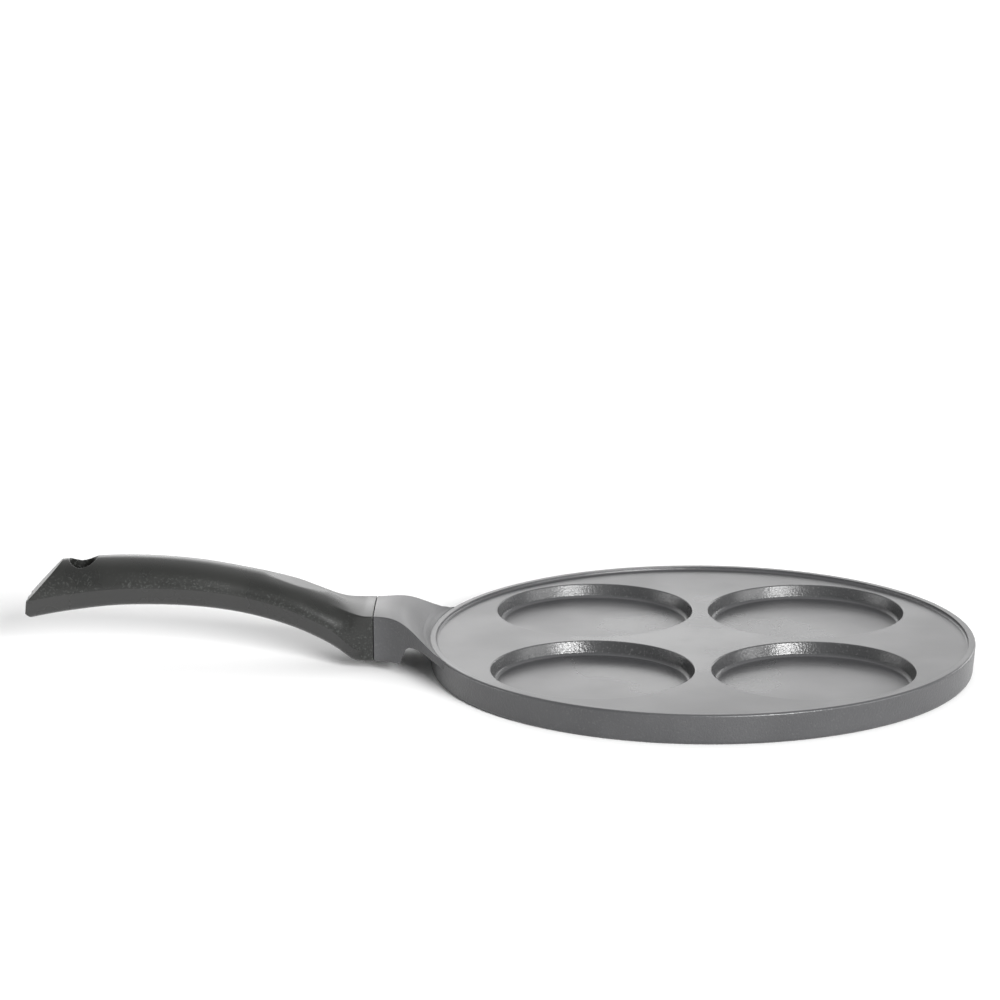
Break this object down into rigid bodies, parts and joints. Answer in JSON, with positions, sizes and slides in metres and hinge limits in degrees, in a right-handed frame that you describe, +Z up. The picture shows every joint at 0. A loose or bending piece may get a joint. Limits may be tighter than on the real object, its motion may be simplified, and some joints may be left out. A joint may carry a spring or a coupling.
{
  "type": "pancake pan",
  "caption": "Flat round cast pan with shallow round wells in its floor, a flared neck and a rising moulded handle with a thumb rest and a hanging hole.",
  "frame": {"origin": "centre of the flat base, on the surface that the pan stands on", "axes": "+Z up, -X along the handle, Y across it; the pan is symmetric about the XZ plane"},
  "size_m": [0.4526, 0.26, 0.0527],
  "materials": {
    "coated_aluminium": "satin dark grey non-stick coating over a cast body",
    "plate_steel": "brushed stainless",
    "handle_plastic": "satin moulded phenolic",
    "screw_steel": "zinc plated"
  },
  "bodies": {
    "root": {"pan_body": "coated_aluminium", "induction_plate": "plate_steel", "handle": "handle_plastic", "handle_screw": "screw_steel", "flat_washer": "screw_steel", "lock_washer": "screw_steel"}
  },
  "joints": []
}
